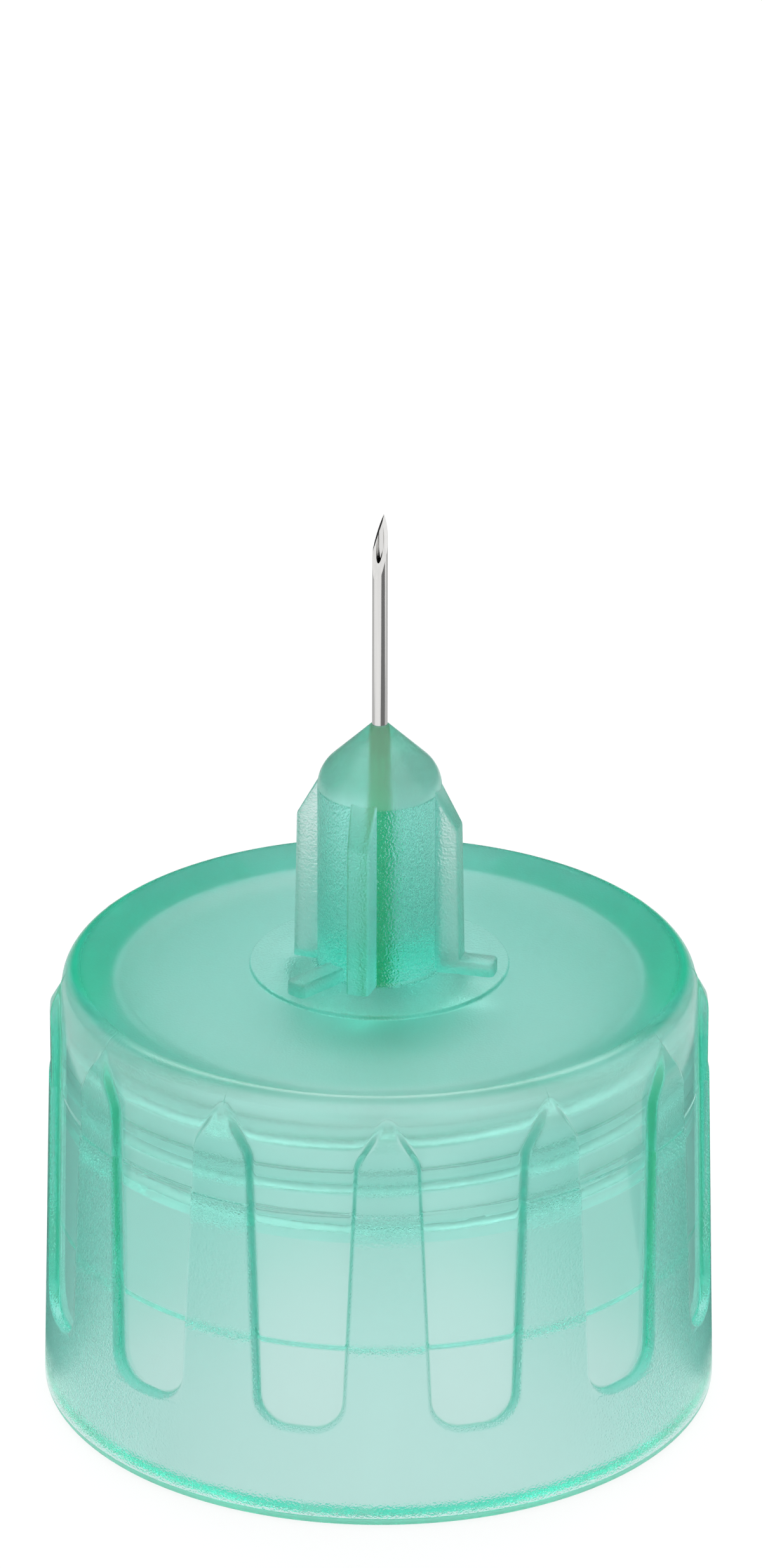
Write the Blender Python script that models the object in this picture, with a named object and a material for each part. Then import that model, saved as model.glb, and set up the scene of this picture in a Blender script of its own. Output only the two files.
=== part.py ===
"""Pen needle: a moulded translucent hub that screws onto a pen, with a fine steel tube held on its axis.

The hub is one moulding: a cup with twelve grip ribs outside and a stepped socket inside, and on its flat
top a low disc with three locating bars and a cross-ribbed tower that ends in a dome.
The tube is sharp at both ends, and a bead of cured adhesive holds it in the hub.
Frame: metres, +Z up along the tube, origin at the centre of the rim's underside, front at -Y.
"""

import math

import bmesh
import bpy
from mathutils import Matrix, Vector

MM = 0.001

# Hub, outside
HUB_HEIGHT = 8.20 * MM
WALL_RADIUS = 5.70 * MM
WALL_DRAFT = math.radians(1.25)
RIB_RISE = 0.205 * MM
RIB_COUNT = 12
RIB_TURN = math.radians(1.5)
RIB_HALF_WIDTH = 0.54 * MM
RIB_TAPER = 0.04
RIB_TIP_HALF_WIDTH = 0.07 * MM
RIB_TIP_DROP = 0.27 * MM
RIB_SHOULDER_DROP = 1.15 * MM
RIB_SHOULDER_ROUND = 0.50 * MM
RIB_SLOPE_DROP = 0.75 * MM
RIB_SLOPE = math.radians(24)
RIB_SLOPE_ROUND = 0.50 * MM
BAND_HEIGHT = 1.84 * MM
WINDOW_CORNER = 0.58 * MM
PARTING_DROP = 2.12 * MM
PARTING_STEP = 0.03 * MM
PARTING_STEP_SLOPE = 0.012 * MM
OUTER_DRAFT = math.radians(1.3)
TOP_ROUND = 0.44 * MM
RIM_ROUND = 0.20 * MM

# Hub, socket
TOP_WALL = 0.90 * MM
THREAD_RADIUS = 4.78 * MM
THREAD_DEPTH = 1.95 * MM
THREAD_LEAD_IN = 0.12 * MM
PLAIN_RADIUS = 4.92 * MM
MOUTH_RADIUS = 5.20 * MM
MOUTH_DEPTH = 3.20 * MM
MOUTH_STEP_SLOPE = 0.06 * MM
MOUTH_CHAMFER = 0.14 * MM
CEILING_ROUND = 0.20 * MM
BOSS_RADIUS = 1.60 * MM
BOSS_LENGTH = 0.90 * MM
BOSS_ROUND = 0.15 * MM

# Disc and bars on the top face
DISC_RADIUS = 2.32 * MM
DISC_HEIGHT = 0.08 * MM
DISC_ROUND = 0.03 * MM
BAR_COUNT = 3
BAR_TURN = math.radians(75)
BAR_WIDTH = 0.42 * MM
BAR_HEIGHT = 0.26 * MM
BAR_END_INSET = 0.17 * MM
BAR_CORNER = 0.11 * MM

# Tower
TOWER_RADIUS = 1.11 * MM
TOWER_FOOT_ROUND = 0.06 * MM
TOWER_SHAFT = 3.42 * MM
DOME_HEIGHT = 1.23 * MM
DOME_SLOPE = math.radians(46)
TOWER_RIB_COUNT = 4
TOWER_RIB_TURN = math.radians(75)
TOWER_RIB_REACH = 0.43 * MM
TOWER_RIB_WIDTH = 0.40 * MM
TOWER_RIB_DRAFT = math.radians(1.2)
TOWER_RIB_FLANK_DRAFT = math.radians(5)
TOWER_RIB_RISE = 0.15 * MM
TOWER_RIB_SLOPE_LENGTH = 0.77 * MM
TOWER_RIB_CORNER = 0.20 * MM

# Steel tube
TUBE_RADIUS = 0.14 * MM
LUMEN_RADIUS = 0.07 * MM
EXPOSED_LENGTH = 3.97 * MM
REAR_REACH = 5.60 * MM
BEVEL_TURN = math.radians(-29)
BEVEL_LENGTH = 1.20 * MM
BEVEL_ANGLE = math.radians(12)
LANCET_ANGLE = math.radians(17.5)
LANCET_TURN = math.radians(42)
REAR_BEVEL_ANGLE = math.radians(16)

# Adhesive and fits
BORE_CLEARANCE = 0.02 * MM
WELL_MOUTH_RADIUS = 0.62 * MM
WELL_DEPTH = 0.80 * MM
WELL_WALL_SLOPE = math.radians(16)
ADHESIVE_CLEARANCE = 0.02 * MM
ADHESIVE_SETBACK = 0.06 * MM

# Facets
HUB_STEPS = 72
TUBE_STEPS = 28
ARC_STEP = math.radians(20)
DOME_ARC_STEPS = 5
SHARP_ANGLE = math.radians(25)
CUTTER_REACH = 1.0 * MM
UNION_CORE_RADIUS = 0.55 * MM
OVERLAP = 0.05 * MM
MERGE = 1e-8

# Heights worked out from the sizes above
CEILING = HUB_HEIGHT - TOP_WALL
PARTING = HUB_HEIGHT - PARTING_DROP
THREAD_END = CEILING - THREAD_DEPTH
BOSS_FACE = CEILING - BOSS_LENGTH
DISC_TOP = HUB_HEIGHT + DISC_HEIGHT
DOME_FOOT = DISC_TOP + TOWER_SHAFT
TOWER_TOP = DOME_FOOT + DOME_HEIGHT
TUBE_TIP = TOWER_TOP + EXPOSED_LENGTH
TUBE_END = CEILING - REAR_REACH
BORE_RADIUS = TUBE_RADIUS + BORE_CLEARANCE
RIB_RADIUS = WALL_RADIUS + RIB_RISE
SECTOR = 2 * math.pi / RIB_COUNT


def clear_scene():
    for obj in list(bpy.data.objects):
        bpy.data.objects.remove(obj, do_unlink=True)


def make_material(name, colour, roughness, metallic=0.0, transmission=0.0, ior=1.49):
    material = bpy.data.materials.new(name)
    material.use_nodes = True
    shader = material.node_tree.nodes["Principled BSDF"]
    shader.inputs["Base Color"].default_value = (*colour, 1.0)
    shader.inputs["Roughness"].default_value = roughness
    shader.inputs["Metallic"].default_value = metallic
    shader.inputs["Transmission Weight"].default_value = transmission
    shader.inputs["IOR"].default_value = ior
    return material


def make_object(name, bm, material=None):
    mesh = bpy.data.meshes.new(name)
    bm.to_mesh(mesh)
    bm.free()
    mesh.shade_smooth()
    mesh.set_sharp_from_angle(angle=SHARP_ANGLE)
    obj = bpy.data.objects.new(name, mesh)
    bpy.context.scene.collection.objects.link(obj)
    if material:
        mesh.materials.append(material)
    return obj


def make_cutter(name, bm):
    cutter = make_object(name, bm)
    cutter.hide_render = True
    cutter.display_type = "WIRE"
    return cutter


def combine(obj, other, operation):
    modifier = obj.modifiers.new(f"{operation.lower()} {other.name}", "BOOLEAN")
    modifier.operation = operation
    modifier.solver = "EXACT"
    modifier.object = other


def rounded(corners):
    """Points of an outline whose corners, given as (x, y, radius), are replaced by arcs."""
    points = []
    count = len(corners)
    for index, (x, y, radius) in enumerate(corners):
        corner = Vector((x, y))
        if radius == 0:
            points.append(corner)
            continue
        before = (Vector(corners[index - 1][:2]) - corner).normalized()
        after = (Vector(corners[(index + 1) % count][:2]) - corner).normalized()
        opening = before.angle(after)
        middle = corner + (before + after).normalized() * radius / math.sin(opening / 2)
        first = corner + before * radius / math.tan(opening / 2) - middle
        turn = math.pi - opening
        if before.x * after.y - before.y * after.x > 0:
            turn = -turn
        steps = max(1, math.ceil(abs(turn) / ARC_STEP - 1e-6))
        for step in range(steps + 1):
            points.append(middle + Matrix.Rotation(turn * step / steps, 2) @ first)
    return points


def revolve(outline, steps, turn=0.0):
    """Closed solid swept by a closed outline of (radius, height) points about the Z axis."""
    bm = bmesh.new()
    verts = [bm.verts.new((x * math.cos(turn), x * math.sin(turn), z)) for x, z in outline]
    edges = [bm.edges.new(pair) for pair in zip(verts, verts[1:] + verts[:1])]
    bmesh.ops.spin(bm, geom=verts + edges, cent=(0, 0, 0), axis=(0, 0, 1), angle=2 * math.pi,
                   steps=steps, use_merge=True)
    bmesh.ops.remove_doubles(bm, verts=bm.verts, dist=MERGE)
    bmesh.ops.recalc_face_normals(bm, faces=bm.faces)
    return bm


def extrude_outline(outline, depth):
    """Prism from an outline in the XY plane, extruded by depth along +Z."""
    bm = bmesh.new()
    face = bm.faces.new([bm.verts.new((x, y, 0)) for x, y in outline])
    grown = bmesh.ops.extrude_face_region(bm, geom=[face], use_keep_orig=True)
    new_verts = [item for item in grown["geom"] if isinstance(item, bmesh.types.BMVert)]
    bmesh.ops.translate(bm, verts=new_verts, vec=(0, 0, depth))
    bmesh.ops.recalc_face_normals(bm, faces=bm.faces)
    return bm


def pattern(bm, count, turn):
    """Copies of everything in bm, set round the Z axis; the first is turned by turn from -Y towards +X."""
    bmesh.ops.rotate(bm, verts=bm.verts, cent=(0, 0, 0), matrix=Matrix.Rotation(turn, 3, "Z"))
    source = bm.verts[:] + bm.edges[:] + bm.faces[:]
    for index in range(1, count):
        copy = bmesh.ops.duplicate(bm, geom=source)
        verts = [item for item in copy["geom"] if isinstance(item, bmesh.types.BMVert)]
        step = Matrix.Rotation(2 * math.pi * index / count, 3, "Z")
        bmesh.ops.rotate(bm, verts=verts, cent=(0, 0, 0), matrix=step)
    return bm


def outer_radius(height):
    """Radius of the drafted skirt and of the ribs below the parting line."""
    return RIB_RADIUS + PARTING_STEP + (PARTING - height) * math.tan(OUTER_DRAFT)


def dome_outline():
    """Dome from its foot to its tip: an arc that leaves the shaft upright, then a cone to the tube."""
    fall = 1 / math.tan(DOME_SLOPE)
    spare_height = DOME_HEIGHT - (TOWER_RADIUS - BORE_RADIUS) * fall
    arc_radius = spare_height / (math.sin(DOME_SLOPE) - (1 - math.cos(DOME_SLOPE)) * fall)
    points = []
    for step in range(DOME_ARC_STEPS + 1):
        angle = DOME_SLOPE * step / DOME_ARC_STEPS
        points.append((TOWER_RADIUS - arc_radius * (1 - math.cos(angle)),
                       DOME_FOOT + arc_radius * math.sin(angle)))
    points.append((BORE_RADIUS, TOWER_TOP))
    return points


def hub_outline():
    """Half section of the hub as (radius, height), from the rim up the outside and back down the socket."""
    slope_foot = HUB_HEIGHT - RIB_SLOPE_DROP
    slope_top = RIB_RADIUS - RIB_SLOPE_DROP * math.tan(RIB_SLOPE)
    well_top = BOSS_FACE + WELL_DEPTH
    well_throat = WELL_MOUTH_RADIUS - WELL_DEPTH * math.tan(WELL_WALL_SLOPE)
    return rounded([
        (MOUTH_RADIUS + MOUTH_CHAMFER, 0, 0),
        (outer_radius(0), 0, RIM_ROUND),
        (outer_radius(PARTING), PARTING, 0),
        (RIB_RADIUS, PARTING + PARTING_STEP_SLOPE, 0),
        (RIB_RADIUS, slope_foot, RIB_SLOPE_ROUND),
        (slope_top, HUB_HEIGHT, TOP_ROUND),
        (DISC_RADIUS, HUB_HEIGHT, 0),
        (DISC_RADIUS, DISC_TOP, DISC_ROUND),
        (TOWER_RADIUS, DISC_TOP, TOWER_FOOT_ROUND),
        *[(radius, height, 0) for radius, height in dome_outline()],
        (BORE_RADIUS, well_top, 0),
        (well_throat, well_top, 0),
        (WELL_MOUTH_RADIUS, BOSS_FACE, 0),
        (BOSS_RADIUS, BOSS_FACE, BOSS_ROUND),
        (BOSS_RADIUS, CEILING, 0),
        (THREAD_RADIUS, CEILING, CEILING_ROUND),
        (THREAD_RADIUS, THREAD_END, 0),
        (PLAIN_RADIUS, THREAD_END - THREAD_LEAD_IN, 0),
        (PLAIN_RADIUS, MOUTH_DEPTH, 0),
        (MOUTH_RADIUS, MOUTH_DEPTH - MOUTH_STEP_SLOPE, 0),
        (MOUTH_RADIUS, MOUTH_CHAMFER, 0),
    ])


def window_outline():
    """One recess between two ribs, laid flat: x is the arc at the wall's radius from one rib's middle."""
    shoulder = HUB_HEIGHT - RIB_SHOULDER_DROP
    tip = HUB_HEIGHT - RIB_TIP_DROP
    pitch = WALL_RADIUS * SECTOR
    tip_half = RIB_TIP_HALF_WIDTH
    foot_half = RIB_HALF_WIDTH + (shoulder - BAND_HEIGHT) * RIB_TAPER
    return rounded([
        (foot_half, BAND_HEIGHT, WINDOW_CORNER),
        (pitch - foot_half, BAND_HEIGHT, WINDOW_CORNER),
        (pitch - RIB_HALF_WIDTH, shoulder, RIB_SHOULDER_ROUND),
        (pitch - tip_half, tip, 0),
        (pitch - tip_half, HUB_HEIGHT, 0),
        (tip_half, HUB_HEIGHT, 0),
        (tip_half, tip, 0),
        (RIB_HALF_WIDTH, shoulder, RIB_SHOULDER_ROUND),
    ])


def window_cutter():
    """All recesses: each outline is sliced into strips, thickened and bent round the wall's radius."""
    bm = extrude_outline(window_outline(), CUTTER_REACH)
    pitch = WALL_RADIUS * SECTOR
    strips = HUB_STEPS // RIB_COUNT
    for index in range(1, strips):
        bmesh.ops.bisect_plane(bm, geom=bm.verts[:] + bm.edges[:] + bm.faces[:], dist=MERGE,
                               plane_co=(pitch * index / strips, 0, 0), plane_no=(1, 0, 0))
    for vert in bm.verts:
        angle = vert.co.x / WALL_RADIUS
        radius = WALL_RADIUS + (HUB_HEIGHT - vert.co.y) * math.tan(WALL_DRAFT) + vert.co.z
        vert.co = (radius * math.sin(angle), -radius * math.cos(angle), vert.co.y)
    bmesh.ops.recalc_face_normals(bm, faces=bm.faces)
    bmesh.ops.triangulate(bm, faces=bm.faces)
    return make_cutter("window_cutter", pattern(bm, RIB_COUNT, RIB_TURN))


def tower_ribs():
    """Cross ribs of the tower: a side profile in the radial plane, given its width, then spread by draft."""
    foot_reach = TOWER_RADIUS + TOWER_RIB_REACH
    slope_top = DOME_FOOT + TOWER_RIB_RISE
    slope_foot = slope_top - TOWER_RIB_SLOPE_LENGTH
    top_reach = foot_reach - (slope_foot - DISC_TOP) * math.tan(TOWER_RIB_DRAFT)
    foot = HUB_HEIGHT - OVERLAP
    side = rounded([
        (UNION_CORE_RADIUS, foot, 0),
        (foot_reach, foot, 0),
        (top_reach, slope_foot, TOWER_RIB_CORNER),
        (TOWER_RADIUS - OVERLAP, slope_top, 0),
        (UNION_CORE_RADIUS, slope_top, 0),
    ])
    bm = extrude_outline(side, TOWER_RIB_WIDTH)
    for vert in bm.verts:
        radius, height, across = vert.co
        half = TOWER_RIB_WIDTH / 2 + (foot_reach - radius) * math.tan(TOWER_RIB_FLANK_DRAFT)
        vert.co = (math.copysign(half, across - TOWER_RIB_WIDTH / 2), -radius, height)
    bmesh.ops.recalc_face_normals(bm, faces=bm.faces)
    return make_cutter("tower_ribs", pattern(bm, TOWER_RIB_COUNT, TOWER_RIB_TURN))


def locating_bars():
    """Low round-ended bars on the disc, radial from the tower."""
    half = BAR_WIDTH / 2
    end = DISC_RADIUS - BAR_END_INSET
    plan = rounded([
        (-half, -UNION_CORE_RADIUS, 0),
        (-half, -end, BAR_CORNER),
        (half, -end, BAR_CORNER),
        (half, -UNION_CORE_RADIUS, 0),
    ])
    foot = HUB_HEIGHT - OVERLAP
    bm = extrude_outline(plan, DISC_TOP + BAR_HEIGHT - foot)
    bmesh.ops.translate(bm, verts=bm.verts, vec=(0, 0, foot))
    return make_cutter("locating_bars", pattern(bm, BAR_COUNT, BAR_TURN))


def make_hub(material):
    hub = make_object("hub", revolve(hub_outline(), HUB_STEPS, RIB_TURN), material)
    combine(hub, tower_ribs(), "UNION")
    combine(hub, locating_bars(), "UNION")
    combine(hub, window_cutter(), "DIFFERENCE")
    return hub


def slice_off(bm, point, normal):
    """Cut away everything past a plane and close the cut."""
    cut = bmesh.ops.bisect_plane(bm, geom=bm.verts[:] + bm.edges[:] + bm.faces[:], dist=MERGE,
                                 plane_co=point, plane_no=normal, clear_outer=True)
    rim = [item for item in cut["geom_cut"] if isinstance(item, bmesh.types.BMEdge)]
    bmesh.ops.triangle_fill(bm, use_beauty=True, edges=rim, normal=normal)


def facing(turn):
    """Level direction that is turned by turn from -Y towards +X."""
    return Vector((math.sin(turn), -math.cos(turn), 0))


def grind(bm, point, angle, turn, upwards):
    """Slanted grind through a point: the ground face looks towards turn and leans angle from upright."""
    slice_off(bm, point, facing(turn) * math.cos(angle) + Vector((0, 0, upwards * math.sin(angle))))


def make_tube(material):
    """Steel tube: its upper point is a long bevel with a lancet grind each side, its rear point a bevel."""
    outline = [(TUBE_RADIUS, TUBE_END), (TUBE_RADIUS, TUBE_TIP), (LUMEN_RADIUS, TUBE_TIP),
               (LUMEN_RADIUS, TUBE_END)]
    bm = revolve(outline, TUBE_STEPS, BEVEL_TURN + math.pi / 2)
    side = facing(BEVEL_TURN) * TUBE_RADIUS
    heel = Vector((0, 0, TUBE_TIP - BEVEL_LENGTH)) + side
    grind(bm, heel, BEVEL_ANGLE, BEVEL_TURN, 1)
    tip = Vector((0, 0, TUBE_TIP)) - side
    for lancet_turn in (-LANCET_TURN, LANCET_TURN):
        grind(bm, tip, LANCET_ANGLE, BEVEL_TURN + lancet_turn, 1)
    rear_tip = Vector((0, 0, TUBE_END)) - side
    grind(bm, rear_tip, REAR_BEVEL_ANGLE, BEVEL_TURN, -1)
    bmesh.ops.remove_doubles(bm, verts=bm.verts, dist=MERGE)
    return make_object("needle_tube", bm, material)


def make_adhesive(material):
    """Cured bead that fills the well in the hub's boss round the tube."""
    well_top = BOSS_FACE + WELL_DEPTH
    top = well_top - ADHESIVE_CLEARANCE
    foot = BOSS_FACE + ADHESIVE_SETBACK
    slope = math.tan(WELL_WALL_SLOPE)
    bore = TUBE_RADIUS + ADHESIVE_CLEARANCE
    outline = [
        (bore, foot),
        (WELL_MOUTH_RADIUS - ADHESIVE_SETBACK * slope - ADHESIVE_CLEARANCE, foot),
        (WELL_MOUTH_RADIUS - (top - BOSS_FACE) * slope - ADHESIVE_CLEARANCE, top),
        (bore, top),
    ]
    return make_object("adhesive", revolve(outline, TUBE_STEPS), material)


def main():
    clear_scene()
    hub_plastic = make_material("tinted polypropylene", (0.22, 0.60, 0.47), 0.25, transmission=0.6)
    steel = make_material("stainless steel", (0.60, 0.61, 0.62), 0.22, metallic=1.0)
    resin = make_material("cured acrylate adhesive", (0.80, 0.84, 0.80), 0.15, transmission=0.8)
    make_hub(hub_plastic)
    make_tube(steel)
    make_adhesive(resin)


main()
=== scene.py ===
"""Looks of the pen needle: a tinted translucent hub with an internal thread, a steel tube and its adhesive.

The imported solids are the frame. The hub is modelled again with its fillets, its thread and its fine edges,
the tube with its two ground points, and the adhesive with its meniscus, each in its solid's place.
Units: millimetres in the sizes below, turned to metres by MM. Front is -Y, and turns run from -Y towards +X.
"""

import math

import bmesh
import bpy
from mathutils import Matrix, Vector


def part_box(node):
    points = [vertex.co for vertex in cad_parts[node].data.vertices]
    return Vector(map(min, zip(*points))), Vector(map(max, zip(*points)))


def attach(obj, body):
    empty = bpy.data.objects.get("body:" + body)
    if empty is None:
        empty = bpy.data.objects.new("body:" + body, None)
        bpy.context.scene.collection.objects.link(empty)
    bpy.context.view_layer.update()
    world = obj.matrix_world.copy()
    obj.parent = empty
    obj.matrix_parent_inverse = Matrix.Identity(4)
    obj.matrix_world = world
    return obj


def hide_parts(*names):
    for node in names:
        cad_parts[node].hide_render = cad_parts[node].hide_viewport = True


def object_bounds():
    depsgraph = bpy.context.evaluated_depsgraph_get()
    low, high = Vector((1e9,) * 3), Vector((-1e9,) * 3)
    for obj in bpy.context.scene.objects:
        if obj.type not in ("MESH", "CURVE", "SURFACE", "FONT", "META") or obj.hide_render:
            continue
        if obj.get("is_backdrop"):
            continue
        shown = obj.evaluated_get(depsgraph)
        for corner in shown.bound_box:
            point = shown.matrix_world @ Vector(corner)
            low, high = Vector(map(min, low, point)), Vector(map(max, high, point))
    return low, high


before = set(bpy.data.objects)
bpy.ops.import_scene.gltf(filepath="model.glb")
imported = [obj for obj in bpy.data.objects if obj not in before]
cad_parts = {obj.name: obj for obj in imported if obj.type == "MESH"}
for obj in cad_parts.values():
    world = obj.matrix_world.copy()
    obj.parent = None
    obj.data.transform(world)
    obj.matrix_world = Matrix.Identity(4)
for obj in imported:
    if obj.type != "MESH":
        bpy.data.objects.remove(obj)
cad_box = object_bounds()

MM = 0.001

# Heights read from the frame
TOWER_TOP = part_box("hub")[1].z
TUBE_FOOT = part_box("needle_tube")[0].z
TUBE_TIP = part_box("needle_tube")[1].z
BEAD_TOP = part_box("adhesive")[1].z

# Hub, outside
HUB_HEIGHT = 8.20 * MM
WALL_RADIUS = 5.70 * MM
WALL_DRAFT = math.radians(1.25)
RIB_RISE = 0.205 * MM
RIB_COUNT = 12
RIB_TURN = math.radians(1.5)
RIB_HALF_WIDTH = 0.54 * MM
RIB_TAPER = 0.04
RIB_TIP_DROP = 0.235 * MM
RIB_TIP_ROUND = 0.10 * MM
RIB_SHOULDER_DROP = 1.15 * MM
RIB_SHOULDER_ROUND = 0.50 * MM
RIB_SLOPE_DROP = 0.75 * MM
RIB_SLOPE = math.radians(24)
RIB_SLOPE_ROUND = 0.50 * MM
BAND_HEIGHT = 1.84 * MM
WINDOW_CORNER = 0.58 * MM
FLANK_HALF_WIDTH = 0.060 * MM
SHOULDER_BLEND = 0.05 * MM
PARTING_DROP = 2.12 * MM
PARTING_STEP = 0.03 * MM
PARTING_STEP_SLOPE = 0.012 * MM
WINDOW_PARTING_STEP = 0.008 * MM
OUTER_DRAFT = math.radians(1.3)
TOP_ROUND = 0.44 * MM
TOP_FACE_RADIUS = 4.1 * MM
RIM_ROUND = 0.20 * MM
RIM_FACE_RADIUS = 5.5 * MM

# Hub, socket
TOP_WALL = 0.55 * MM
BOSS_FACE_DROP = 1.80 * MM
THREAD_RADIUS = 4.78 * MM
THREAD_END = 5.35 * MM
THREAD_LEAD_IN = 0.12 * MM
THREAD_PITCH = 0.87 * MM
THREAD_RISE = 0.32 * MM
THREAD_CREST = 0.16 * MM
THREAD_ROOT = 0.50 * MM
THREAD_START = -0.285 * MM
THREAD_RUN_OUT = 0.12 * MM
THREAD_TURN = math.radians(180)
THREAD_SPARE_WINDINGS = 2
PLAIN_RADIUS = 4.92 * MM
MOUTH_RADIUS = 5.20 * MM
MOUTH_TOP_RADIUS = 5.04 * MM
MOUTH_DEPTH = 3.20 * MM
MOUTH_STEP_SLOPE = 0.06 * MM
MOUTH_CHAMFER = 0.14 * MM
CEILING_ROUND = 0.20 * MM
CEILING_ARC = 0.196 * MM
BOSS_RADIUS = 1.60 * MM
BOSS_ROUND = 0.15 * MM
BOSS_FOOT_ROUND = 0.06 * MM
EDGE_ROUND = 0.03 * MM

# Disc and bars on the top face
DISC_RADIUS = 2.32 * MM
DISC_HEIGHT = 0.08 * MM
DISC_ROUND = 0.035 * MM
BAR_COUNT = 3
BAR_TURN = math.radians(75)
BAR_WIDTH = 0.42 * MM
BAR_HEIGHT = 0.26 * MM
BAR_END_INSET = 0.17 * MM
BAR_CORNER = 0.11 * MM
BAR_EDGE_ROUND = 0.05 * MM

# Tower
TOWER_RADIUS = 1.11 * MM
TOWER_FOOT_ROUND = 0.06 * MM
TOWER_SHAFT = 3.42 * MM
DOME_HEIGHT = 1.23 * MM
DOME_SLOPE = math.radians(46)
TOWER_RIB_COUNT = 4
TOWER_RIB_TURN = math.radians(75)
TOWER_RIB_REACH = 0.43 * MM
TOWER_RIB_WIDTH = 0.40 * MM
TOWER_RIB_DRAFT = math.radians(1.2)
TOWER_RIB_FLANK_DRAFT = math.radians(5)
TOWER_RIB_RISE = 0.15 * MM
TOWER_RIB_SLOPE_LENGTH = 0.77 * MM
TOWER_RIB_CORNER = 0.20 * MM
TOWER_RIB_EDGE_ROUND = 0.05 * MM
UNION_CORE_RADIUS = 0.55 * MM

# Steel tube
TUBE_RADIUS = 0.14 * MM
LUMEN_RADIUS = 0.07 * MM
BEVEL_TURN = math.radians(-29)
BEVEL_LENGTH = 1.20 * MM
BEVEL_ANGLE = math.radians(12)
LANCET_ANGLE = math.radians(17.5)
LANCET_TURN = math.radians(42)
REAR_BEVEL_ANGLE = math.radians(16)

# Adhesive
BOND = 0.004 * MM
WELL_MOUTH_RADIUS = 0.62 * MM
WELL_DEPTH = 0.80 * MM
WELL_WALL_SLOPE = math.radians(16)
MENISCUS_SAG = 0.10 * MM
MENISCUS_SETBACK = 0.06 * MM

# Finish of the moulding, each value from 0 to 1: the mould's frost and grain; then a milky veil, partly the
# plastic's own scatter and partly painted light; then depth, a deep green tint that is painted shade on edges
# where light runs a long way through the plastic
FINISH_NAMES = ("frost", "grain", "milk_and_painted_light", "depth")
FINISH_DOME = (0.4, 0.05, 0.3, 0.0)
FINISH_TOWER = (0.4, 0.75, 0.05, 0.0)
FINISH_TOWER_RIB = (0.7, 0.6, 0.17, 0.0)
FINISH_TOP = (0.65, 0.2, 0.1, 0.05)
# The top ring's depth is painted shade: a deep green band round the top's edge
FINISH_TOP_RING = (0.65, 0.15, 0.05, 0.15)
FINISH_TOP_GLINT = (0.4, 0.05, 0.1, 0.25)
FINISH_TOP_LINE = (0.4, 0.05, 0.05, 0.25)
# The upper wall's milky veil is painted light: a pale band under the top edge, fading down to UPPER_WALL_FOOT
FINISH_UPPER_WALL = (0.4, 0.05, 0.4, 0.0)
FINISH_UPPER_RIB = (0.35, 0.2, 0.17, 0.0)
FINISH_WINDOW = (0.08, 0.0, 0.26, 0.0)
# Depth on the flanks, the rim and the mouth's edge is painted shade: deep green bands and lines there
FINISH_FLANK = (0.3, 0.1, 0.0, 0.42)
FINISH_SKIRT = (0.35, 0.5, 0.15, 0.0)
FINISH_RIM = (0.7, 0.1, 0.0, 0.8)
FINISH_MOUTH_EDGE = (0.1, 0.0, 0.0, 1.0)
FINISH_SOCKET = (0.7, 0.0, 0.1, 0.0)
FINISH_THREAD = (0.85, 0.0, 0.3, 0.1)
FINISH_CEILING = (0.5, 0.0, 0.0, 0.0)
UPPER_WALL_FOOT = 6.9 * MM

# Finish round the top fillet, by the degrees that it has turned down from the top face
TOP_EDGE_FINISHES = (
    (0, FINISH_TOP_RING),
    (7, FINISH_TOP_GLINT),
    (14, FINISH_TOP_GLINT),
    (21, FINISH_TOP_LINE),
    (28, FINISH_TOP_LINE),
    (42, FINISH_UPPER_WALL),
    (90, FINISH_UPPER_WALL),
)

# Mesh
SOCKET_STEPS = 180
THREAD_ROWS = 32
TUBE_STEPS = 64
MENISCUS_STEPS = 12
ARC_STEP = math.radians(7)
BAR_ARC_STEP = math.radians(15)
DOME_ARC_STEPS = 14
EDGE_SEGMENTS = 4
OVERLAP = 0.05 * MM
MERGE = 0.00001 * MM
WELD = 0.0005 * MM
STEP_SLACK = 1e-6

# Heights, radii and pitch worked out from the sizes above; ribs and bars start half-way down the disc
CEILING = HUB_HEIGHT - TOP_WALL
PARTING = HUB_HEIGHT - PARTING_DROP
BOSS_FACE = HUB_HEIGHT - BOSS_FACE_DROP
DISC_TOP = HUB_HEIGHT + DISC_HEIGHT
DOME_FOOT = DISC_TOP + TOWER_SHAFT
SUNK_FOOT = DISC_TOP - DISC_HEIGHT / 2
WELL_TOP = BOSS_FACE + WELL_DEPTH
BORE_RADIUS = TUBE_RADIUS - BOND
RIB_RADIUS = WALL_RADIUS + RIB_RISE
SECTOR = 2 * math.pi / RIB_COUNT
HALF_PITCH = WALL_RADIUS * SECTOR / 2

# Grid of the wall: heights with the rows up to each, then columns across a rib's flank, in shares of its
# half width, and the reach that the flank's middle is kept to at the ribs' tips and in the windows' corners
ROWS_FOOT = 0.20 * MM
ROW_STOPS = (
    (BAND_HEIGHT - 0.12 * MM, 6),
    (BAND_HEIGHT + 0.12 * MM, 14),
    (BAND_HEIGHT + 0.62 * MM, 14),
    (PARTING - 0.08 * MM, 18),
    (PARTING + 0.08 * MM, 6),
    (6.60 * MM, 4),
    (7.97 * MM, 30),
)
ROW_CLEARANCE = 0.001 * MM
FLANK_SHARES = (-1.5, -0.9, -0.6, -0.3, 0, 0.3, 0.6, 0.9, 1.5)
FLANK_MIDDLE_LOW = 0.14 * MM
FLANK_MIDDLE_HIGH = 1.15 * MM
RIB_COLUMNS = 4
WINDOW_COLUMNS = 5
WINDOW_FOOT_REACH = 1.2 * HALF_PITCH


# Outlines and shares


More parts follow.
